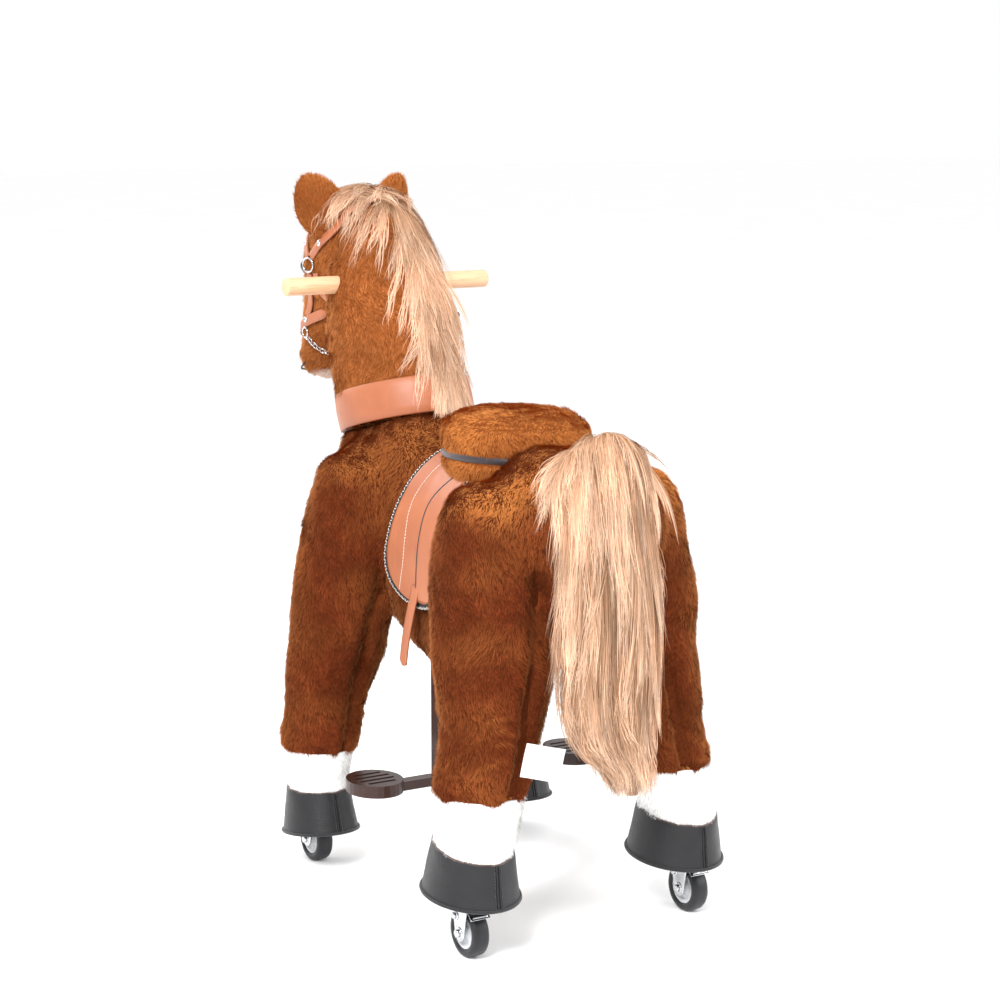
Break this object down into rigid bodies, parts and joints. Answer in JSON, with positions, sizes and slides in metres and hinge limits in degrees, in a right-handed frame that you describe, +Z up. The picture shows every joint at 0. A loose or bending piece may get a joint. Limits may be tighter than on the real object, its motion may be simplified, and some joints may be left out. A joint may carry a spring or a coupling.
{
  "type": "ride-on rocking horse",
  "caption": "Plush ride-on walking horse on casters: hinged legs close as the foot pedals go down, with a turning neck, wooden handle and cushioned saddle.",
  "frame": {"origin": "on the floor, under the middle of the horse's overall length and width", "axes": "+Z up, -Y ahead of the horse, +X to the horse's left"},
  "size_m": [0.416, 0.8358, 0.9283],
  "materials": {
    "plush": "short chestnut plush pile with a brushed nap",
    "hair": "long blond synthetic hair",
    "sock": "short white plush",
    "hoof": "black grained vinyl, satin",
    "leather": "smooth tan artificial leather",
    "felt": "black felt backing with a white edge thread",
    "wood": "pale sanded beech",
    "wood_board": "plain plywood",
    "steel": "black powder coat",
    "bar": "dark brown powder coat",
    "zinc": "bright zinc plate",
    "hub": "pressed metal wheel disc, satin",
    "tyre": "dark grey rubber",
    "plastic": "dark reddish brown moulded plastic"
  },
  "bodies": {
    "chassis": {"backbone_beam": "steel", "front_pivot_yoke": "steel", "rear_pivot_yoke": "steel", "steering_head_tube": "steel", "seat_post": "steel", "seat_board": "wood_board", "seat_cushion": "plush", "torso_plush": "plush", "saddle_pad_left": "felt", "saddle_pad_right": "felt", "saddle_flap_left": "leather", "saddle_flap_right": "leather", "girth_strap_left": "leather", "girth_strap_right": "leather", "tail": "hair"},
    "neck": {"head_and_neck_plush": "plush", "neck_collar": "leather", "steering_stem": "steel", "handle_dowel": "wood", "bridle": "leather", "ear_left": "plush", "ear_right": "plush", "mane": "hair"},
    "brake_lever": {"brake_lever": "plastic"},
    "front_legs": {"front_crank_shaft": "zinc", "front_left_leg_tube": "steel", "front_left_leg_plush": "plush", "front_left_sock": "sock", "front_left_hoof": "hoof", "front_right_leg_tube": "steel", "front_right_leg_plush": "plush", "front_right_sock": "sock", "front_right_hoof": "hoof"},
    "rear_legs": {"rear_crank_shaft": "zinc", "rear_left_leg_tube": "steel", "rear_left_leg_plush": "plush", "rear_left_sock": "sock", "rear_left_hoof": "hoof", "rear_left_caster_fork": "zinc", "rear_right_leg_tube": "steel", "rear_right_leg_plush": "plush", "rear_right_sock": "sock", "rear_right_hoof": "hoof", "rear_right_caster_fork": "zinc"},
    "front_left_caster": {"front_left_caster_fork": "zinc"},
    "front_right_caster": {"front_right_caster_fork": "zinc"},
    "front_left_wheel": {"front_left_wheel_hub": "hub", "front_left_tyre": "tyre"},
    "front_right_wheel": {"front_right_wheel_hub": "hub", "front_right_tyre": "tyre"},
    "rear_left_wheel": {"rear_left_wheel_hub": "hub", "rear_left_tyre": "tyre"},
    "rear_right_wheel": {"rear_right_wheel_hub": "hub", "rear_right_tyre": "tyre"},
    "pedal_frame": {"lower_rail": "steel", "pedal_cross_tube": "steel", "pedal_bar_left": "bar", "pedal_bar_right": "bar", "pedal_left": "plastic", "pedal_right": "plastic"}
  },
  "joints": [
    {"name": "front_leg_swing", "type": "hinge", "parent": "chassis", "child": "front_legs", "pos_m": [0, -0.0798, 0.47], "axis": [1, 0, 0], "range_deg": [0, 11]},
    {"name": "rear_leg_swing", "type": "hinge", "parent": "chassis", "child": "rear_legs", "pos_m": [0, 0.2202, 0.47], "axis": [1, 0, 0], "range_deg": [-11, 0]},
    {"name": "pedal_slide", "type": "slide", "parent": "chassis", "child": "pedal_frame", "axis": [0, 0, -1], "range_m": [0, 0.011]},
    {"name": "steering", "type": "hinge", "parent": "chassis", "child": "neck", "pos_m": [0, -0.1518, 0.588], "axis": [0, -0.2588, 0.9659], "range_deg": [-25, 25]},
    {"name": "brake_pull", "type": "hinge", "parent": "neck", "child": "brake_lever", "pos_m": [-0.07, -0.20227, 0.75236], "axis": [0, 1, 0], "range_deg": [0, 22], "stiffness_Nm_per_rad": 0.3, "springref_deg": -5.73},
    {"name": "front_left_swivel", "type": "hinge", "parent": "front_legs", "child": "front_left_caster", "pos_m": [0.151, -0.1398, 0.09], "axis": [0, 0, 1], "range_deg": [-25, 25]},
    {"name": "front_right_swivel", "type": "hinge", "parent": "front_legs", "child": "front_right_caster", "pos_m": [-0.151, -0.1398, 0.09], "axis": [0, 0, 1], "range_deg": [-25, 25]},
    {"name": "front_left_wheel_spin", "type": "hinge", "parent": "front_left_caster", "child": "front_left_wheel", "pos_m": [0.151, -0.1398, 0.031], "axis": [1, 0, 0], "continuous": true},
    {"name": "front_right_wheel_spin", "type": "hinge", "parent": "front_right_caster", "child": "front_right_wheel", "pos_m": [-0.151, -0.1398, 0.031], "axis": [1, 0, 0], "continuous": true},
    {"name": "rear_left_wheel_spin", "type": "hinge", "parent": "rear_legs", "child": "rear_left_wheel", "pos_m": [0.162, 0.2912, 0.031], "axis": [1, 0, 0], "continuous": true},
    {"name": "rear_right_wheel_spin", "type": "hinge", "parent": "rear_legs", "child": "rear_right_wheel", "pos_m": [-0.162, 0.2912, 0.031], "axis": [1, 0, 0], "continuous": true}
  ],
  "couplings": [
    {"joint": "rear_leg_swing", "follows": "front_leg_swing", "ratio": -1},
    {"joint": "pedal_slide", "follows": "front_leg_swing", "m_per_rad": 0.0567},
    {"joint": "front_left_swivel", "follows": "steering", "ratio": 1},
    {"joint": "front_right_swivel", "follows": "steering", "ratio": 1}
  ]
}
